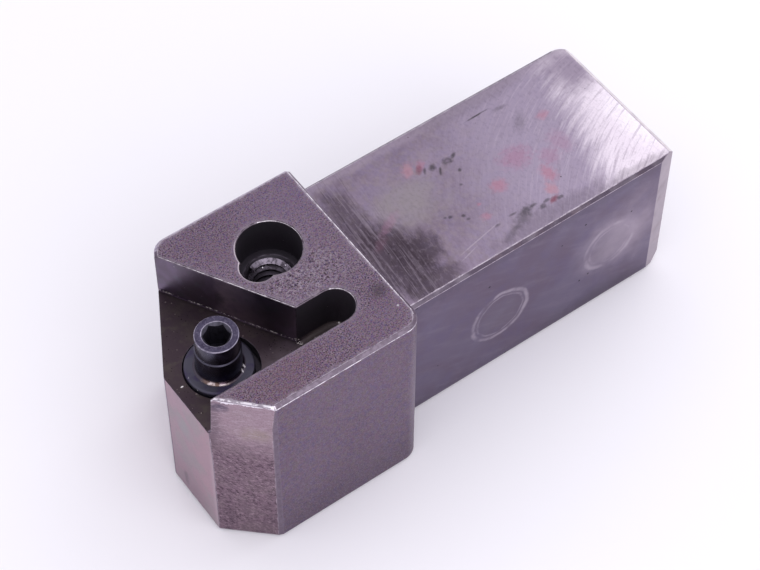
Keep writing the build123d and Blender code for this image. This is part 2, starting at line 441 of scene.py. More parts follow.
def head_top(s):
    s.lay(s.clouds(0.09, 0.35, 0.65), (0.19, 0.15, 0.21))
    # darker and browner towards the nose
    s.lay(s.patch((22, 16, HEAD_TOP), (16, 9, DEEP), 0.9, 0.5, 0.3), (0.15, 0.1, 0.13), strength=0.8)
    rear = s.patch((2, -9, HEAD_TOP), (13, 11, DEEP), 0.9, 0.4, 0.3)
    s.lay(rear, (0.195, 0.16, 0.245), strength=0.65)
    shades(s, 2.2, ((0.1, 0.075, 0.2), (0.19, 0.16, 0.13), (0.23, 0.1, 0.17)), 0.55)
    # finer towards the rear corner
    rough = s.plus(0.6, s.times(s.clouds(0.16, 0.35, 0.6), 0.5))
    rough = s.times(rough, s.outside(s.times(rear, 0.5)))
    grain = s.grain(5.2, 0.58)
    s.lay(s.times(grain["Pits"], rough), (0.028, 0.02, 0.03), 0.5, 0.9)
    s.lay(s.times(grain["Crests"], rough), (0.34, 0.28, 0.35), None, 0.5)
    s.bump(grain["Height"], 0.6, 0.035)
    # coarse grain between the clamp's bore and the pocket, its light crests painted as glints
    coarse = s.patch((8.6, 3.4, HEAD_TOP), (10, 7.5, DEEP), 0.9, 0.6, 0.4)
    glinting_grain = s.grain(3.2, 0.5)
    s.lay(s.times(coarse, glinting_grain["Pits"]), (0.025, 0.018, 0.025), strength=0.9)
    s.lay(s.times(coarse, glinting_grain["Crests"]), (0.4, 0.35, 0.4), 0.34, 0.55)
    s.lay(s.patch((2.2, 11.4, HEAD_TOP), (2.2, 2.0, DEEP), 0.9, 1.2, 0.9), (0.05, 0.04, 0.05), None, 0.55)
    s.lay(s.patch((1.5, 14.8, HEAD_TOP), (0.24, 0.24, DEEP), 0.8), (0.6, 0.58, 0.62), 0.35, 0.8)
    outer = s.steps(s.attribute("inner_mm"), 0.5, 1.2)
    worn_through = s.wear("edge_mm", 0.2, 0.75)
    s.lay(s.times(outer, worn_through), (0.6, 0.54, 0.62), 0.34, 0.75)
    edge_wear(s, 0.12, (0.3, 0.25, 0.31), 0.6)
    edge_wear(s, 0.5, (0.25, 0.205, 0.26), 0.8, 0.38, 0.4)


def shank_top(s):
    s.lay(s.clouds(0.12, 0.3, 0.7, distortion=0.5), (0.28, 0.222, 0.305))
    shades(s, 0.5, ((0.225, 0.185, 0.3), (0.27, 0.22, 0.225)), 0.3)
    spot = s.split(s.place)
    # painted highlight: lighter towards the sawn end and bright at its corner, where the light's reflection
    # lies, broken by bowed streaks of the ground steel; darker again at the left corner
    toward_highlight = s.minus(s.times(spot["Y"], 0.3), spot["X"])
    lean, bow = -0.47, -0.014
    ground = s.vector("SUBTRACT", s.place, (-41, 0, SHANK_TOP))
    brushed = s.scratches(lean, 1.15, 12.0, bow=bow, place=ground)
    uneven = s.plus(toward_highlight, s.swing(brushed["Height"], 13.0))
    s.lay(s.steps(uneven, 12.0, 32.0), (0.34, 0.285, 0.385), 0.34, 0.85)
    s.lay(s.steps(uneven, 37.5, 44.5), (0.76, 0.68, 0.77), 0.32, 0.95)
    s.lay(s.patch((-47, 4, SHANK_TOP), (3.5, 10, DEEP), 0.9, 0.9, 0.4), (0.88, 0.82, 0.9), 0.3, 0.7)
    s.lay(s.patch((-46.0, -8.2, SHANK_TOP), (6.0, 6.0, DEEP), 0.8, 0.9, 0.4), (0.26, 0.21, 0.29), 0.33, 0.9)
    fine = s.scratches(lean, 3.0, 16.0, 0.5, 0.68, bow, ground)
    s.lay(s.times(fine["Mask"], s.steps(toward_highlight, 14.0, 40.0)), (0.62, 0.54, 0.64), strength=0.27)
    dull = s.scratches(lean - 0.03, 1.9, 13.0, 0.5, 0.66, bow, ground)
    s.lay(s.times(dull["Mask"], s.steps(toward_highlight, 20.0, 38.0)), (0.25, 0.2, 0.27), strength=0.42)
    # lighter along the left edge, and a grey-green cloud in the middle of the near half
    s.lay(s.steps(s.times(spot["Y"], -1.0), 10.2, 11.6), (0.36, 0.3, 0.38), strength=0.5)
    s.lay(s.patch((-12.5, -2, SHANK_TOP), (7.5, 6.5, DEEP), 0.9, 0.8, 0.4), (0.285, 0.25, 0.27), strength=0.8)
    # old oil and dirt, thickest in front of the shoulder and smeared along it
    smear = s.vector("MULTIPLY", s.place, (1.0, 0.45, 1.0))
    blotches = s.swing(s.noise(smear, 0.55, 5, 0.7), 1.1)
    dirty = (
        ((-4.4, -4.0), (3.2, 7.5), 0.62),
        ((-5.6, 5.0), (5.2, 9.0), 0.8),
        ((-8.7, 5.6), (4.6, 4.2), 0.75),
        ((-7.6, 10.8), (5.2, 3.0), 0.6),
        ((-31.0, -11.6), (12.0, 2.0), 0.2),
        ((-28.0, 11.4), (12.0, 2.6), 0.3),
        ((-42.0, 12.2), (8.0, 1.6), 0.3),
    )
    for (x, y), (long, wide), strength in dirty:
        apart = s.vector("SUBTRACT", s.place, (x, y, SHANK_TOP))
        apart = s.vector("LENGTH", s.vector("DIVIDE", apart, (long, wide, DEEP)), out="Value")
        inside = s.outside(s.steps(s.plus(apart, blotches), 0.45, 1.05))
        s.lay(inside, (0.052, 0.037, 0.05), 0.5, strength)
    near = s.steps(spot["X"], -11.0, -5.0)
    rubbed = s.scratches(-1.5, 2.4, 26.0, 0.5, 0.64, bow=0.002)
    s.lay(s.times(near, rubbed["Mask"]), (0.30, 0.25, 0.31), 0.35, 0.5)
    cut = s.scratches(-1.44, 4.6, 40.0, 0.56, 0.66)
    s.lay(s.times(near, cut["Mask"]), (0.04, 0.03, 0.04), 0.5, 0.5)
    # painted shade along the foot of the shoulder
    s.lay(s.patch((-0.6, 4, SHANK_TOP), (1.6, 13, DEEP), 0.6, 0.6, 0.5), (0.2, 0.16, 0.21), None, 0.6)
    # marking dye faded pink to red, black dirt in dots and smears, and a few scratches
    PINK = (0.42, 0.19, 0.26)
    SALMON = (0.44, 0.235, 0.29)
    ROSE = (0.36, 0.19, 0.29)
    RED = (0.2, 0.06, 0.09)
    BLACK = (0.05, 0.045, 0.05)
    PALE = (0.44, 0.38, 0.45)
    marks = (
        ((-15.9, -6.6), (1.9, 1.2), 0.93, SALMON, 0.65),
        ((-18.0, -6.4), (1.2, 0.9), 0.93, PINK, 0.5),
        ((-17.3, -5.8), (1.2, 0.7), 0.93, RED, 0.65),
        ((-24.6, 2.9), (1.9, 1.7), 0.0, PINK, 0.6),
        ((-20.4, 3.9), (0.5, 0.45), 0.0, PINK, 0.6),
        ((-19.9, 6.2), (1.1, 0.9), 0.0, PINK, 0.5),
        ((-29.6, 0.2), (3.6, 2.8), 0.0, ROSE, 0.6),
        ((-33.6, 2.8), (2.2, 2.2), 0.0, ROSE, 0.45),
        ((-31.6, 5.2), (1.5, 2.2), 0.0, PINK, 0.65),
        ((-30.2, 7.6), (1.3, 1.6), 0.0, SALMON, 0.7),
        ((-29.3, 9.2), (1.2, 0.6), 0.3, RED, 0.8),
        ((-37.5, -3.6), (1.4, 1.1), 0.0, PINK, 0.55),
        ((-36.5, 1.6), (2.2, 3.0), 0.0, ROSE, 0.35),
        ((-8.4, -0.6), (3.2, 1.0), 0.5, ROSE, 0.35),
        ((-5.4, 1.6), (2.4, 1.0), 0.6, (0.2, 0.1, 0.15), 0.3),
        ((-17.8, -5.1), (0.9, 0.3), 0.93, BLACK, 0.65),
        ((-19.1, -5.1), (0.85, 0.75), 0.93, BLACK, 0.75),
        ((-19.6, -3.9), (1.0, 0.28), 1.03, BLACK, 0.8),
        ((-21.5, -4.8), (1.1, 0.9), 0.0, BLACK, 0.75),
        ((-21.5, -4.8), (0.5, 0.4), 0.0, (0.24, 0.19, 0.26), 0.8),
        ((-22.7, -5.1), (0.9, 0.4), 0.5, BLACK, 0.75),
        ((-21.9, -2.5), (0.45, 0.35), 0.9, BLACK, 0.7),
        ((-20.5, -0.3), (0.45, 0.3), 0.2, BLACK, 0.6),
        ((-15.9, 3.4), (0.5, 0.35), 0.0, BLACK, 0.7),
        ((-15.2, 3.1), (0.35, 0.3), 0.0, BLACK, 0.55),
        ((-17.5, 4.2), (0.45, 0.4), 0.0, BLACK, 0.7),
        ((-17.7, 5.1), (0.4, 0.3), 0.0, BLACK, 0.6),
        ((-20.2, 8.3), (0.7, 0.3), 0.0, BLACK, 0.5),
        ((-23.1, 8.0), (0.9, 0.3), 0.0, BLACK, 0.6),
        ((-26.4, 8.4), (1.0, 0.35), 0.0, BLACK, 0.6),
        ((-27.3, 9.3), (0.9, 0.6), 0.2, BLACK, 0.6),
        ((-28.4, 8.8), (0.9, 0.35), 0.0, BLACK, 0.6),
        ((-30.3, 9.4), (0.8, 0.4), 0.0, BLACK, 0.65),
        ((-24.0, 9.2), (3.6, 1.3), 0.45, BLACK, 0.45),
        ((-24.9, 8.6), (1.5, 0.9), 0.45, BLACK, 0.5),
        ((-20.9, 10.6), (2.6, 0.7), 0.45, BLACK, 0.3),
        ((-29.7, -9.0), (2.6, 0.2), 0.03, BLACK, 0.9),
        ((-33.2, -8.2), (1.6, 0.5), 0.0, BLACK, 0.35),
        ((-34.0, -4.6), (2.4, 1.2), 0.9, BLACK, 0.25),
        ((-16.8, 8.7), (5.4, 0.14), 0.19, PALE, 0.6),
        ((-14.2, 9.9), (2.4, 0.12), 0.26, PALE, 0.55),
    )
    for (x, y), radii, turn, colour, strength in marks:
        cos, sin = math.cos(turn), math.sin(turn)
        place = s.on_face((cos, sin, 0), (-sin, cos, 0))
        middle = (x * cos + y * sin, y * cos - x * sin, SHANK_TOP)
        s.lay(s.patch(middle, (*radii, DEEP), 0.8, 1.1, 1.5, place=place), colour, 0.42, strength)
    s.lay(s.specks(0.55, 0.09, 0.3), (0.05, 0.04, 0.05), 0.5, 0.8)
    s.bump(fine["Height"], 0.35, 0.02)
    # fine cloudy mottle, drawn out across the bar
    drawn = s.vector("MULTIPLY", s.place, (1.0, 0.6, 1.0))
    mottle = s.noise(drawn, 2.2, 4, 0.6)
    s.lay(s.steps(mottle, 0.5, 0.66), (0.36, 0.29, 0.37), strength=0.17)
    s.lay(s.outside(s.steps(mottle, 0.34, 0.5)), (0.12, 0.09, 0.12), strength=0.16)
    edge_wear(s, 0.1, (0.5, 0.45, 0.52), 0.6)
    # painted shade: darker along the inside corner at the shoulder's foot
    s.lay(s.wear("hollow_mm", 0.35, 0.5), (0.03, 0.02, 0.03), 0.5, 0.6)


def head_side(s):
    s.lay(s.clouds(0.12, 0.3, 0.7), (0.17, 0.125, 0.185))
    shades(s, 1.3, ((0.11, 0.085, 0.2), (0.18, 0.145, 0.12), (0.2, 0.1, 0.16)), 0.5)
    spot = s.split(s.place)
    # painted shade: darker towards the bottom
    s.lay(s.outside(s.steps(spot["Z"], 0.0, 13.0)), (0.085, 0.062, 0.09), None, 0.35)
    grain = s.grain(4.6, 0.55)
    s.lay(grain["Pits"], (0.06, 0.043, 0.06), 0.5, 0.45)
    s.lay(grain["Crests"], (0.27, 0.22, 0.29), None, 0.45)
    s.bump(grain["Height"], 0.6, 0.03)
    s.lay(s.specks(0.7, 0.09, 0.3), (0.5, 0.46, 0.52), 0.3, 0.6)
    # painted sheen: paler along the upright rounding beside the shank
    s.lay(s.patch((0, 19, 17), (3.2, 3.0, 22), 0.9, 0.5, 0.4), (0.28, 0.225, 0.29), None, 0.55)
    edge_wear(s, 0.09, (0.24, 0.19, 0.25), 0.6, strength=0.4)


def shank_side(s):
    s.lay(s.clouds(0.1, 0.3, 0.7, distortion=0.6), (0.16, 0.13, 0.2))
    s.lay(s.clouds(0.35, 0.45, 0.7), (0.135, 0.105, 0.19), strength=0.5)
    place = s.on_face(ALONG, UP)
    # painted light and shade: lighter over the far half of the side, darker along its foot
    s.lay(s.patch((-40, 13.5, 0), (11, 10, DEEP), 0.9, 0.8, 0.25, place=place), (0.4, 0.335, 0.41), None,
          0.85)
    s.lay(s.patch((-36, 1, 0), (14, 4, DEEP), 0.9, 0.8, 0.25, place=place), (0.085, 0.065, 0.1), None, 0.75)
    # rings that the tool post's screws have printed
    for (x, z), radius, strength in (((-18.0, 11.4), 4.75, 0.7), ((-37.7, 12.4), 4.4, 0.6)):
        apart = s.vector("SUBTRACT", place, (x, z, -SHANK_SIDE))
        reach = s.vector("LENGTH", apart, out="Value")
        reach = s.plus(reach, s.swing(s.noise(s.place, 0.5, 3), 0.8))
        for ring_radius, width, share in ((radius, 0.55, 1.0), (radius - 0.75, 0.3, 0.6)):
            off = s.math("ABSOLUTE", s.minus(reach, ring_radius))
            ring = s.outside(s.steps(off, 0.05, width))
            broken = s.clouds(0.3, 0.3, 0.6, place=s.vector("ADD", s.place, (x + 4 * share, 0, 3)))
            s.lay(s.times(ring, broken), (0.46, 0.4, 0.47), 0.4, strength * share)
        inside = s.outside(s.steps(reach, radius - 2.5, radius))
        s.lay(inside, (0.2, 0.17, 0.21), None, 0.25)
    smear = s.scratches(-0.4, 0.7, 5.0, 0.45, 0.8, place=place)
    s.lay(smear["Mask"], (0.24, 0.2, 0.26), strength=0.35)
    s.lay(s.specks(0.55, 0.1, 0.35), (0.02, 0.015, 0.02), 0.5, 0.8)
    s.lay(s.specks(0.8, 0.08, 0.3), (0.5, 0.45, 0.52), 0.4, 0.7)
    s.bump(s.noise(s.place, 5.0, 3, 0.6), 0.25, 0.015)
    edge_wear(s, 0.09, (0.3, 0.25, 0.31), 0.6, strength=0.35)
    edge_wear(s, 1.6, (0.1, 0.08, 0.12), 0.6, None, 0.35)


NOSE_RUN = Vector((-6.25, 5.9, 0)).normalized()


def nose(s):
    place = s.on_face(tuple(NOSE_RUN), UP)
    height = s.split(place)
    ragged = s.swing(s.noise(place, 0.5, 5, 0.7), 7.0)
    tilt = s.times(s.plus(height["X"], 8.6), 0.28)
    level = s.plus(s.plus(height["Y"], tilt), ragged)
    # below, the marks of the cutter; above, dressed smooth by hand
    lower = s.outside(s.steps(level, 18.5, 26.0))
    s.lay(lower, (0.215, 0.138, 0.185), 0.45, 0.95)
    marks = s.scratches(0.8, 4.4, 2.6, 0.44, 0.6, place=place)
    s.lay(s.times(lower, marks["Mask"]), (0.06, 0.035, 0.052), 0.5, 0.85)
    level_marks = s.scratches(0.1, 4.0, 2.2, 0.5, 0.64, place=place)
    s.lay(s.times(lower, level_marks["Mask"]), (0.46, 0.34, 0.4), 0.4, 0.6)
    upright_marks = s.scratches(1.571, 2.6, 9.0, 0.45, 0.6, place=place)
    foot = s.outside(s.steps(level, 4.0, 12.0))
    s.lay(s.times(foot, upright_marks["Mask"]), (0.105, 0.065, 0.095), 0.5, 0.5)
    s.lay(s.clouds(0.3, 0.4, 0.7, place=place), (0.31, 0.245, 0.26), strength=0.25)
    s.lay(s.patch((25.6, 17.0, 25.2), (3.6, 3.6, 2.0), 0.9, 0.9, 0.5), (0.34, 0.275, 0.235), None, 0.6)
    # a grey-blue smudge at the top corner by the pocket, darker along the pocket's side
    s.lay(s.patch((29.1, 13.6, 30.2), (2.0, 2.0, 1.6), 0.7, 0.9, 0.6), (0.085, 0.07, 0.115), None, 0.9)
    s.lay(s.patch((29.9, 12.8, 26), (2.3, 2.3, 9), 0.9, 0.6, 0.6), (0.13, 0.095, 0.12), None, 0.7)
    polish = s.scratches(0.05, 3.4, 3.5, 0.45, 0.66, place=place)
    s.lay(s.times(polish["Mask"], s.steps(level, 19.0, 25.0)), (0.5, 0.4, 0.46), None, 0.5)
    s.lay(s.clouds(4.5, 0.5, 0.66, place=place), (0.17, 0.12, 0.16), strength=0.35)
    s.bump(marks["Height"], 0.5, 0.04)
    s.bump(s.noise(s.place, 4.5, 4, 0.65), 0.35, 0.03)
    edge_wear(s, 0.10, (0.5, 0.42, 0.48), 0.6)
    # the burr at its top edge is rubbed bright, most of all at the pocket's end
    ragged = s.swing(s.noise(place, 1.1, 4, 0.65), 1.6)
    rim = s.steps(s.plus(height["Y"], ragged), 31.25, 31.4)
    s.lay(rim, (0.88, 0.83, 0.9), 0.3, 0.9)


def front(s):
    s.lay(s.clouds(0.14, 0.3, 0.7, distortion=0.4), (0.34, 0.24, 0.295))
    s.lay(s.clouds(0.22, 0.46, 0.6, detail=5, distortion=0.5), (0.28, 0.28, 0.29), strength=0.45)
    s.lay(s.clouds(0.3, 0.48, 0.64, detail=5, place=s.vector("ADD", s.place, (0, 9, 4))), (0.4, 0.25, 0.315),
          strength=0.4)
    s.lay(s.clouds(4.0, 0.5, 0.68), (0.2, 0.14, 0.18), strength=0.3)
    s.lay(s.patch((FRONT, 6.1, 17), (2, 2.6, 3.0), 0.9, 0.9, 0.5), (0.29, 0.29, 0.31), None, 0.7)
    s.lay(s.patch((FRONT, 5.0, 3.4), (2, 0.8, 2.2), 0.7, 0.9, 0.8), (0.09, 0.06, 0.09), None, 0.75)
    s.bump(s.noise(s.place, 4.0, 3, 0.6), 0.3, 0.02)
    s.lay(s.patch((FRONT, 6.5, 2), (2, 7, 9), 0.9, 0.6, 0.3), (0.24, 0.165, 0.215), None, 0.55)
    s.lay(s.patch((FRONT, 12.9, 10), (2, 1.1, 16), 0.6, 0.4, 0.5), (0.44, 0.345, 0.4), None, 0.6)
    edge_wear(s, 0.1, (0.45, 0.38, 0.44), 0.6)


def sawn_end(s):
    place = s.on_face(ACROSS, UP)
    sawn = s.scratches(0.12, 1.9, 25.0, 0.4, 0.68, bow=0.003, place=place)
    s.lay(sawn["Mask"], (0.2, 0.165, 0.2), 0.5, 0.7)
    s.lay(s.clouds(0.2, 0.4, 0.75), (0.42, 0.38, 0.42), strength=0.6)
    s.bump(sawn["Height"], 0.9, 0.12)
    edge_wear(s, 0.15, (0.6, 0.56, 0.6), 0.5)


def pocket_floor(s):
    s.lay(s.clouds(0.25, 0.4, 0.7), (0.08, 0.062, 0.064))
    # lighter towards the back wall and the slot
    s.lay(s.patch((15.5, 10.5, POCKET_FLOOR), (6, 6, DEEP), 0.9, 0.6, 0.4), (0.22, 0.175, 0.2), strength=0.85)
    s.lay(s.clouds(0.8, 0.52, 0.7, detail=5), (0.1, 0.085, 0.075), strength=0.45)
    s.lay(s.patch((8.5, 9.5, POCKET_FLOOR), (5.5, 3.5, DEEP), 0.5), (0.09, 0.07, 0.07), 0.6, 0.8, dull=True)
    swept = s.patch((7.4, 7.9, POCKET_FLOOR), (3.2, 1.8, DEEP), 0.4)
    s.lay(s.times(swept, s.specks(1.8, 0.45, 0.4)), (0.85, 0.8, 0.78), 0.6, dull=True)
    # a painted glint: a short white dash on the floor
    s.lay(s.patch((28.7, 4.4, POCKET_FLOOR), (0.28, 0.14, DEEP), ragged=0.8, ragged_scale=3.0),
          (0.85, 0.8, 0.82), 0.5, dull=True)
    s.lay(s.specks(1.7, 0.24, 0.3), (0.3, 0.25, 0.24), 0.4, 0.55)
    s.lay(s.specks(3.2, 0.3, 0.3), (0.012, 0.008, 0.01), 0.5, 0.8)
    s.bump(s.noise(s.place, 3.0, 5, 0.65), 0.5, 0.04)
    crumbs(s, 0.2, 0.9)


def pocket_wall(s):
    # blackened, with painted shade: a ragged-edged patch over one end of the wall and another towards the
    # slot, the rest left lighter as painted light
    s.lay(s.patch((21.2, -6.6, 28), (6.5, 6.5, DEEP), 0.3, 0.8, 0.3), (0.12, 0.092, 0.13))
    s.lay(s.patch((13.5, 5.5, 28), (4.5, 7.5, DEEP), 0.8, 0.6, 0.4), (0.1, 0.08, 0.11), strength=0.85)
    s.lay(s.clouds(0.3, 0.45, 0.65, distortion=0.8), (0.19, 0.14, 0.23), strength=0.4)
    s.lay(s.clouds(0.7, 0.5, 0.75), (0.12, 0.14, 0.15), strength=0.35)
    s.lay(s.specks(1.5, 0.14, 0.2), (0.4, 0.34, 0.4), 0.4, 0.6)
    s.bump(s.noise(s.place, 2.2, 4, 0.6), 0.35, 0.03)
    crumbs(s, 0.26, 0.95)


def bore(s):
    s.lay(s.clouds(0.3, 0.4, 0.7), (0.1, 0.085, 0.11))
    s.lay(s.specks(2.0, 0.2, 0.1), (0.4, 0.35, 0.4), 0.4, 0.5)
    s.bump(s.noise(s.place, 3.0, 4, 0.6), 0.4, 0.03)


def thread(s):
    # lighter towards its mouth, painted light falling in from above; dark oil in clouds, and bright specks as
    # painted glints
    spot = s.split(s.place)
    s.lay(s.steps(spot["Z"], 23.0, 25.2), (0.46, 0.4, 0.5), 0.42, 0.85)
    s.lay(s.clouds(1.5, 0.44, 0.58, detail=5, roughness=0.7), (0.07, 0.058, 0.075), 0.5, 0.8)
    s.lay(s.specks(2.2, 0.3, 0.3), (0.9, 0.86, 0.95), 0.2, 0.8)


def edge(s):
    s.lay(s.clouds(1.2, 0.42, 0.62, detail=4), (0.22, 0.175, 0.23), 0.38, 0.6)
    s.lay(s.clouds(3.5, 0.5, 0.66, detail=4), (0.09, 0.065, 0.09), 0.45, 0.4)
    s.bump(s.noise(s.place, 3.0, 4, 0.65), 0.5, 0.05)


def soft_edge(s):
    s.lay(s.clouds(0.35, 0.4, 0.65, detail=4), (0.3, 0.26, 0.31), 0.38, 0.35)
    s.lay(s.clouds(0.5, 0.5, 0.7, detail=4), (0.2, 0.13, 0.14), 0.4, 0.25)


def worn(s):
    s.lay(s.clouds(1.1, 0.44, 0.58, detail=5, roughness=0.7), (0.24, 0.195, 0.25), 0.4, 0.8)
    s.bump(s.noise(s.place, 3.0, 4, 0.65), 0.5, 0.05)


def dim_rim(s):
    s.lay(s.clouds(1.3, 0.42, 0.6, detail=4, roughness=0.65), (0.04, 0.03, 0.04), 0.45, 0.85)
    s.lay(s.specks(2.0, 0.3, 0.2), (0.5, 0.45, 0.5), 0.35, 0.8)
    # brighter round the notch
    s.lay(s.patch((12.8, -2.2, HEAD_TOP), (5.0, 5.0, 2), 0.5, 0.5), (0.62, 0.54, 0.6), 0.4, 0.7)


def pin_side(s):
    s.lay(s.clouds(0.6, 0.4, 0.7), (0.09, 0.085, 0.125), strength=0.7)
    s.lay(s.specks(2.2, 0.12, 0.2), (0.5, 0.48, 0.55), 0.3, 0.5)
    s.bump(s.noise(s.place, 5.0, 4, 0.6), 0.3, 0.02)


def pin_foot(s):
    # painted highlight on the rounding at the stem's foot, where it faces the nose
    front = s.patch((25.2, 7.2, 24.6), (3.0, 2.6, 2), 0.8, 0.8, 0.8)
    s.lay(front, (0.3, 0.19, 0.14), None, 0.6)
    s.lay(s.times(front, s.clouds(1.1, 0.42, 0.58, detail=4)), (0.9, 0.78, 0.8), 0.25, 0.8)
    # two painted glints on the rounding
    for x, y in ((20.5, 6.7), (21.1, 7.2)):
        s.lay(s.patch((x, y, 24.6), (0.16, 0.35, DEEP)), (0.85, 0.82, 0.86), 0.4, 0.9, dull=True)


def pin_flange(s):
    s.lay(s.clouds(0.4, 0.45, 0.65), (0.045, 0.03, 0.085), strength=0.7)
    s.lay(s.specks(1.1, 0.14, 0.2), (0.9, 0.88, 0.92), 0.3, 0.9)
    s.bump(s.noise(s.place, 4.0, 4, 0.6), 0.3, 0.02)


def pin_top(s):
    s.lay(s.clouds(1.4, 0.42, 0.62, detail=4), (0.05, 0.042, 0.075), strength=0.8)
    s.lay(s.clouds(3.0, 0.5, 0.64, detail=4), (0.16, 0.14, 0.21), strength=0.6)
    s.bump(s.noise(s.place, 5.0, 4, 0.6), 0.3, 0.02)


def pin_rim(s):
    s.lay(s.clouds(1.6, 0.42, 0.62, detail=4), (0.14, 0.125, 0.18), strength=0.8)


def pin_socket(s):
    s.lay(s.clouds(1.6, 0.45, 0.65, detail=4), (0.03, 0.028, 0.04), strength=0.7)


finish("head_top_steel", head_top, (0.14, 0.108, 0.154), 0.42)
finish("shank_top_steel", shank_top, (0.205, 0.157, 0.215), 0.36)
finish("side_steel", head_side, (0.148, 0.103, 0.158), 0.42)
finish("shank_side_steel", shank_side, (0.138, 0.1, 0.155), 0.36)
finish("nose_steel", nose, (0.35, 0.252, 0.3), 0.4)
finish("front_steel", front, (0.4, 0.25, 0.305), 0.38)
finish("end_steel", sawn_end, (0.32, 0.28, 0.32), 0.4)
finish("pocket_floor_steel", pocket_floor, (0.065, 0.046, 0.058), 0.48)
finish("pocket_wall_steel", pocket_wall, (0.33, 0.26, 0.33), 0.34)
finish("bore_steel", bore, (0.1, 0.09, 0.11), 0.55)
finish("thread_steel", thread, (0.07, 0.06, 0.08), 0.4)
finish("pin_steel", pin_side, (0.07, 0.065, 0.09), 0.25)
finish("pin_foot_steel", pin_foot, (0.07, 0.06, 0.08), 0.3)
finish("pin_flange_steel", pin_flange, (0.08, 0.076, 0.105), 0.45, 0.85)
finish("pin_top_steel", pin_top, (0.08, 0.07, 0.115), 0.32)
finish("pin_rim_steel", pin_rim, (0.34, 0.31, 0.4), 0.28)
finish("pin_socket_steel", pin_socket, (0.07, 0.065, 0.09), 0.35, 0.8)
finish("edge_steel", edge, (0.17, 0.13, 0.175), 0.4)
finish("left_edge_steel", edge, (0.46, 0.41, 0.52), 0.36)
finish("shank_edge_steel", soft_edge, (0.1, 0.078, 0.11), 0.42)
finish("end_edge_steel", soft_edge, (0.44, 0.38, 0.43), 0.5)
finish("bright_edge_steel", worn, (0.85, 0.8, 0.87), 0.3)
finish("worn_steel", worn, (0.5, 0.44, 0.52), 0.32)
finish("upright_edge_steel", soft_edge, (0.21, 0.165, 0.21), 0.42)
finish("side_edge_steel", worn, (0.165, 0.13, 0.17), 0.42)
finish("end_top_steel", soft_edge, (0.78, 0.72, 0.74), 0.42)
finish("rim_steel", dim_rim, (0.2, 0.165, 0.2), 0.4)
finish("foot_rim_steel", dim_rim, (0.1, 0.085, 0.11), 0.4)
order = list(finishes)

# the flat faces: the way each one looks, how far out it lies, and its finish
NOSE_SIDE = Vector((5.9, 6.25, 0)).normalized()
LEAD_SIDE = Vector((math.sin(math.radians(60)), -0.5, 0))
faces_out = (
    ((0, 0, 1), HEAD_TOP, "head_top_steel"),
    ((0, 0, 1), SHANK_TOP, "shank_top_steel"),
    ((0, 0, 1), POCKET_FLOOR, "pocket_floor_steel"),
    ((0, 0, -1), 0, "side_steel"),
    ((0, 1, 0), HEAD_SIDE, "side_steel"),
    ((0, 1, 0), SHANK_SIDE, "shank_side_steel"),
    ((0, -1, 0), SHANK_SIDE, "shank_side_steel"),
    ((0, -1, 0), HEAD_LEFT, "side_steel"),
    ((-1, 0, 0), 0, "side_steel"),
    ((-1, 0, 0), SAWN_END, "end_steel"),
    ((1, 0, 0), FRONT, "front_steel"),
    (LEAD_SIDE, LEAD_SIDE.dot((FRONT, 1.829, 0)), "front_steel"),
    (NOSE_SIDE, NOSE_SIDE.dot((FRONT, 12.85, 0)), "nose_steel"),
)
CLAMP_AXIS = (9.742, -2.740)
NOTCH_AXIS = (12.730, -1.015)
PIN_AXIS = (22.960, 4.5625)
SEAT_AXIS = (22.7, 4.7125)
bores = ((CLAMP_AXIS, 4.5), (NOTCH_AXIS, 2.45), (PIN_AXIS, 4.45), (SEAT_AXIS, 5.25))
CORNER = Vector((9.402, 12.65, 0))
BACK_SIDE = Vector((math.sin(math.radians(60)), 0.5, 0))
SAME_WAY = 0.9995
SAME_PLANE = 0.02
BELOW_TOP = HEAD_TOP - 0.2


def finish_of(centre, side):
    for way, distance, name in faces_out:
        way = Vector(way)
        if side.dot(way) > SAME_WAY and abs(centre.dot(way) - distance) < SAME_PLANE:
            return name
    for axis, radius in bores:
        if math.dist(centre.xy, axis) < radius and centre.z < BELOW_TOP:
            return "bore_steel"
    in_front = (centre - CORNER).dot(BACK_SIDE) > -0.4
    in_slot = SLOT_FAR < centre.x < SLOT_NEAR and 7.2 < centre.y < FRONT_WALL
    in_pocket = POCKET_FLOOR - 0.5 < centre.z < BELOW_TOP and centre.y < FRONT_WALL and (in_front or in_slot)
    if in_pocket and side.z > -0.5:
        if in_slot:
            return "pocket_floor_steel" if side.z > 0.1 else "bore_steel"
        if side.dot(BACK_SIDE) > 0.5 or side.y < -0.3:
            return "pocket_wall_steel"
    if abs(side.z) < 0.1 and centre.x > 20 and side.dot(NOSE_SIDE) > 0.99:
        return "nose_steel"
    rear_round = centre.x < 2.7 and centre.y > 16.1
    lead_round = centre.y < -8 and centre.x > 18
    front_round = centre.x > 28 and centre.y < 3.5
    if abs(side.z) < 0.01 and (rear_round or lead_round or front_round):
        return "side_steel"
    looks_up = side.z > 0.3
    if centre.x < -0.1:
        # the sawn end's upward chamfer is pale: painted highlight, as on the shank's top there
        if centre.x < -46:
            return "end_top_steel" if looks_up else "end_edge_steel"
        return "shank_edge_steel" if centre.z > 20 else "edge_steel"
    # the head's upward chamfers are pale where they face the front and the left, painted highlight, and dark
    # where they face elsewhere, painted shade
    if looks_up and side.dot(NOSE_SIDE) > 0.3:
        return "bright_edge_steel" if side.x > 0.2 else "side_edge_steel"
    return "left_edge_steel" if looks_up and side.y < -0.3 else "edge_steel"


def in_hollow(centre):
    """Whether a point on an edge belongs to the pocket, the slot or a bore."""
    if any(math.dist(centre.xy, axis) < radius + 0.3 for axis, radius in bores):
        return True
    in_front = (centre - CORNER).dot(BACK_SIDE) > -0.25
    in_slot = SLOT_FAR < centre.x < SLOT_NEAR and centre.y > 7.1
    over_floor = centre.z > POCKET_FLOOR - 0.2 and centre.y < FRONT_WALL + 0.05
    return over_floor and (in_front or in_slot)


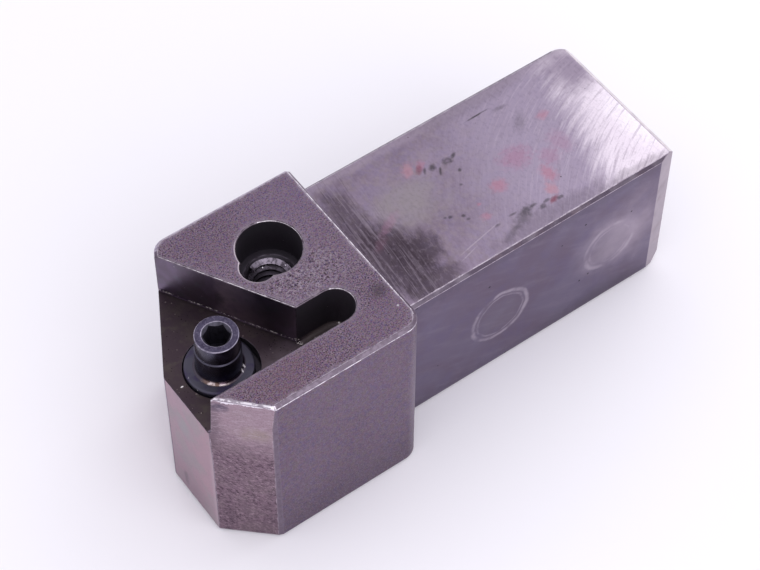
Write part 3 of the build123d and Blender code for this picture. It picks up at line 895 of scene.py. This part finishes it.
def worn_finish(centre, side):
    """The finish of a worn edge, by its place and the way it looks."""
    if in_hollow(centre):
        return "rim_steel" if centre.z > BELOW_TOP else "foot_rim_steel"
    if abs(side.z) < 0.1 and 0.9 < side.y < 0.999 and centre.x > 20:
        return "side_steel"
    # along the head's top, the worn roundings are pale where they face some ways and dark where they face
    # others: real wear, with painted highlight and shade
    if centre.z > HEAD_TOP - 1 and 0.1 < side.z < 0.65 and side.y > 0.7:
        return "bright_edge_steel"
    if centre.z > HEAD_TOP - 0.6 and side.z > 0.8 and centre.y > -10:
        return "bright_edge_steel" if side.y < 0.1 or side.x > 0.1 else "side_edge_steel"
    return "worn_steel" if side.z > 0.5 else "upright_edge_steel"


bm = solid_copy("holder_body")
for face in bm.faces:
    face.material_index = order.index(finish_of(face.calc_center_median() / MM, face.normal))
sharp = [edge for edge in bm.edges if edge.calc_face_angle_signed(0) > SHARP]
hollow = [edge for edge in bm.edges if edge.calc_face_angle_signed(0) < -SHARP]
sharp_lines = [[np.array(vert.co) for vert in edge.verts] for edge in sharp]
hollow_lines = [[np.array(vert.co) for vert in edge.verts] for edge in hollow]
rounded = bmesh.ops.bevel(
    bm, geom=sharp, offset=WORN_WIDTH * MM, offset_type="OFFSET", segments=2, profile=0.5,
    affect="EDGES", material=-1, clamp_overlap=False,
)
for face in rounded["faces"]:
    face.material_index = order.index(worn_finish(face.calc_center_median() / MM, face.normal))
grid_cuts(bm)
for face in bm.faces:
    face.smooth = True
for line in bm.edges:
    line.smooth = line.calc_face_angle(0) < SHARP
holder = mesh_object("holder", bm, finishes.values(), "holder")
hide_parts("holder_body")
spots = np.array([vert.co for vert in holder.data.vertices])
inner_lines = [line for line in sharp_lines if in_hollow(Vector(line[0] + line[1]) / 2 / MM)]
for name, lines in (("edge_mm", sharp_lines), ("hollow_mm", hollow_lines), ("inner_mm", inner_lines)):
    holder.data.attributes.new(name, "FLOAT", "POINT").data.foreach_set("value", edge_distances(spots, lines))

# ---- threads in the holder
# Two tapped holes, cut right through the head: one for the clamp's screw and one for the lock pin.
# The pin fills its hole down to its end, so that hole's ridge is wound only in the open part below.
PIN_PITCH = 1.06
RIDGE_STEPS = 40
CLAMP_THREAD = dict(axis=CLAMP_AXIS, root=3.2, crest=2.5, pitch=1.27, low=0.5, high=25.5)
PIN_HOLE_THREAD = dict(axis=PIN_AXIS, root=4.02, crest=3.45, pitch=PIN_PITCH, low=0.5, high=10.9)


def thread_ridge(bm, axis, root, crest, pitch, low, high):
    """A screw thread's ridge, from its root radius to its crest radius, wound round an upright axis."""
    middle = Vector((*axis, 0)) * MM
    foot = 0.42 * pitch
    tip = 0.09 * pitch
    corners = ((root, -foot), (crest, -tip), (crest, tip), (root, foot))
    ring = [bm.verts.new(middle + Vector((radius, 0, low + foot + lift)) * MM) for radius, lift in corners]
    face = bm.faces.new(ring)
    turns = (high - low - 2 * foot) / pitch
    count = int(turns * RIDGE_STEPS)
    bmesh.ops.spin(
        bm, geom=[face, *face.edges, *face.verts], cent=middle, axis=(0, 0, 1),
        dvec=(0, 0, pitch * MM / RIDGE_STEPS), angle=math.tau * count / RIDGE_STEPS, steps=count,
        use_merge=False, use_duplicate=False,
    )
    bmesh.ops.recalc_face_normals(bm, faces=bm.faces)


for name, thread in (("clamp_hole_thread", CLAMP_THREAD), ("pin_hole_thread", PIN_HOLE_THREAD)):
    bm = bmesh.new()
    thread_ridge(bm, **thread)
    mesh_object(name, bm, [finishes["thread_steel"]], "holder")

# ---- lock pin
# Turned from one piece and oil-blackened, with a hexagon socket for its key. Its flange holds
# the shim down and its head stands in the insert's hole.
PIN_END = 11.55
PIN_TIP_RADIUS = 2.85
PIN_THREAD_TOP = 20.9
GROOVE_RADIUS = 3.3
FLANGE_FOOT = 22.05
FLANGE_TOP = 24.45
FLANGE_RADIUS = 4.75
FLANGE_ROUND = 0.35
STEM_RADIUS = 3.14
STEM_ROUND = 0.4
HEAD_FOOT = 28.5
HEAD_RADIUS = 2.98
HEAD_ROUND = 0.18
PIN_TOP = 31.35
KEY_MOUTH = 2.08
KEY_HALF = 1.6
KEY_DEPTH = 4.5
PIN_THREAD_CORE = 3.42
PIN_THREAD_CREST = 3.95
ROUND_STEPS = 96
ARC_STEPS = 5
PIN_SHARP = math.radians(28)
PIN_FINISHES = (
    "pin_steel", "pin_top_steel", "pin_rim_steel", "pin_foot_steel", "pin_flange_steel", "pin_socket_steel",
)


def corner_arc(centre_r, centre_z, radius, start, end):
    """Points of a small round, in the pin's half section. Angles in degrees."""
    angles = [math.radians(start + (end - start) * step / ARC_STEPS) for step in range(ARC_STEPS + 1)]
    return [(centre_r + radius * math.cos(a), centre_z + radius * math.sin(a)) for a in angles]


half_section = [
    (0, PIN_END), (PIN_TIP_RADIUS, PIN_END),
    (PIN_THREAD_CORE, PIN_END + 0.6), (PIN_THREAD_CORE, PIN_THREAD_TOP),
    (GROOVE_RADIUS, PIN_THREAD_TOP + 0.1), (GROOVE_RADIUS, FLANGE_FOOT),
    (FLANGE_RADIUS - 0.1, FLANGE_FOOT), (FLANGE_RADIUS, FLANGE_FOOT + 0.1),
    *corner_arc(FLANGE_RADIUS - FLANGE_ROUND, FLANGE_TOP - FLANGE_ROUND, FLANGE_ROUND, 0, 90),
    *corner_arc(STEM_RADIUS + STEM_ROUND, FLANGE_TOP + STEM_ROUND, STEM_ROUND, 270, 180),
    (STEM_RADIUS, HEAD_FOOT - 0.16), (HEAD_RADIUS, HEAD_FOOT),
    *corner_arc(HEAD_RADIUS - HEAD_ROUND, PIN_TOP - HEAD_ROUND, HEAD_ROUND, 0, 90),
    (KEY_MOUTH, PIN_TOP), (KEY_MOUTH - 0.1, PIN_TOP - 0.05),
]
pin_middle = Vector((*PIN_AXIS, 0))
bm = bmesh.new()
profile = [bm.verts.new((pin_middle + Vector((radius, 0, height))) * MM) for radius, height in half_section]
lines = [bm.edges.new(pair) for pair in zip(profile, profile[1:])]
bmesh.ops.spin(
    bm, geom=profile + lines, cent=pin_middle * MM, axis=(0, 0, 1), dvec=(0, 0, 0), angle=math.tau,
    steps=ROUND_STEPS, use_merge=True, use_duplicate=False,
)
bmesh.ops.remove_doubles(bm, verts=bm.verts, dist=SAME_POINT)
# the socket: its mouth is countersunk, so the cone meets the six flats in arcs
mouth = [line for line in bm.edges if line.is_boundary]
for depth_of in (
    lambda across: PIN_TOP - (KEY_MOUTH - across),
    lambda across: PIN_TOP - KEY_DEPTH,
):
    pulled = bmesh.ops.extrude_edge_only(bm, edges=mouth)["geom"]
    mouth = [item for item in pulled if isinstance(item, bmesh.types.BMEdge) and item.is_boundary]
    for vert in {vert for line in mouth for vert in line.verts}:
        spoke = vert.co / MM - pin_middle
        angle = math.atan2(spoke.y, spoke.x)
        across = KEY_HALF / math.cos((angle + math.pi / 6) % (math.pi / 3) - math.pi / 6)
        vert.co = (pin_middle + Vector((across * math.cos(angle), across * math.sin(angle),
                                        depth_of(across)))) * MM
bmesh.ops.contextual_create(bm, geom=mouth)
bmesh.ops.recalc_face_normals(bm, faces=bm.faces)
for face in bm.faces:
    face.smooth = True
for line in bm.edges:
    line.smooth = not line.is_manifold or line.calc_face_angle(0) < PIN_SHARP


def pin_finish(radii, heights):
    """The finish of a face on the pin, from how far out and how high its corners lie."""
    if min(radii) > KEY_MOUTH - 0.01 and min(heights) > PIN_TOP - 0.01:
        return "pin_top_steel"
    if min(heights) > PIN_TOP - HEAD_ROUND - 0.01 and min(radii) > KEY_MOUTH - 0.11:
        return "pin_rim_steel"
    if max(radii) < KEY_MOUTH and min(heights) > PIN_TOP - KEY_DEPTH - 0.1:
        return "pin_socket_steel"
    on_flange = FLANGE_TOP - 0.01 < min(heights) and max(heights) < FLANGE_TOP + STEM_ROUND + 0.05
    if on_flange and max(radii) < STEM_RADIUS + STEM_ROUND + 0.06:
        return "pin_foot_steel"
    return "pin_flange_steel" if FLANGE_FOOT < max(heights) < FLANGE_TOP + 0.01 else "pin_steel"


for face in bm.faces:
    heights = [vert.co.z / MM for vert in face.verts]
    radii = [(vert.co / MM - pin_middle).xy.length for vert in face.verts]
    face.material_index = PIN_FINISHES.index(pin_finish(radii, heights))
pin = mesh_object("pin", bm, [finishes[name] for name in PIN_FINISHES], "pin")
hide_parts("lock_pin")

bm = bmesh.new()
thread_ridge(bm, PIN_AXIS, PIN_THREAD_CORE - 0.03, PIN_THREAD_CREST, PIN_PITCH, PIN_END + 0.3, PIN_THREAD_TOP)
mesh_object("pin_thread", bm, [finishes["pin_steel"]], "pin")

# ---- floor, light and camera
# A plain pale floor under a light tent, which lights from all round. A broad panel adds soft light
# from the front, and a small weak one behind makes the shank's ground corner shine.
FLOOR_HALF = 3.0
bm = bmesh.new()
bmesh.ops.create_grid(bm, x_segments=1, y_segments=1, size=FLOOR_HALF)
mesh = bpy.data.meshes.new("floor")
bm.to_mesh(mesh)
bm.free()
floor = bpy.data.objects.new("floor", mesh)
bpy.context.scene.collection.objects.link(floor)
pale = bpy.data.materials.new("pale_floor")
pale.use_nodes = True
surface = pale.node_tree.nodes["Principled BSDF"].inputs
surface["Base Color"].default_value = (0.92, 0.905, 0.955, 1)
surface["Roughness"].default_value = 0.9
floor.data.materials.append(pale)

world = bpy.data.worlds.new("tent")
world.use_nodes = True
sky = world.node_tree.nodes["Background"].inputs
sky["Color"].default_value = (0.97, 0.955, 1.0, 1)
sky["Strength"].default_value = 0.97
bpy.context.scene.world = world


def panel(name, place, target, side, power):
    data = bpy.data.lights.new(name, "AREA")
    data.shape = "RECTANGLE"
    data.size = side
    data.size_y = side
    data.energy = power
    light = bpy.data.objects.new(name, data)
    light.location = place
    light.rotation_euler = (Vector(target) - Vector(place)).to_track_quat("-Z", "Y").to_euler()
    bpy.context.scene.collection.objects.link(light)


panel("back_panel", (-0.292, -0.041, 0.275), (-0.05, 0.01, 0.025), 0.3, 0.2)
panel("front_panel", (0.02, 0.42, 0.36), (0, 0, 0), 0.5, 0.75)

camera = bpy.data.objects.new("camera", bpy.data.cameras.new("camera"))
camera.data.lens = 111.018
camera.data.sensor_width = 36
camera.data.sensor_fit = "HORIZONTAL"
camera.data.clip_start = 0.01
camera.data.clip_end = 20
right = Vector((-0.8090084, 0.58778577, 0.00364767))
down = Vector((0.47242495, 0.65389704, -0.59095966))
ahead = Vector((-0.34974288, -0.47636808, -0.80669286))
basis = Matrix((right, -down, -ahead)).transposed().to_4x4()
basis.translation = Vector((108.476, 156.562, 278.573)) * MM
camera.matrix_world = basis
bpy.context.scene.collection.objects.link(camera)
bpy.context.scene.camera = camera
bpy.context.scene.view_settings.view_transform = "Standard"
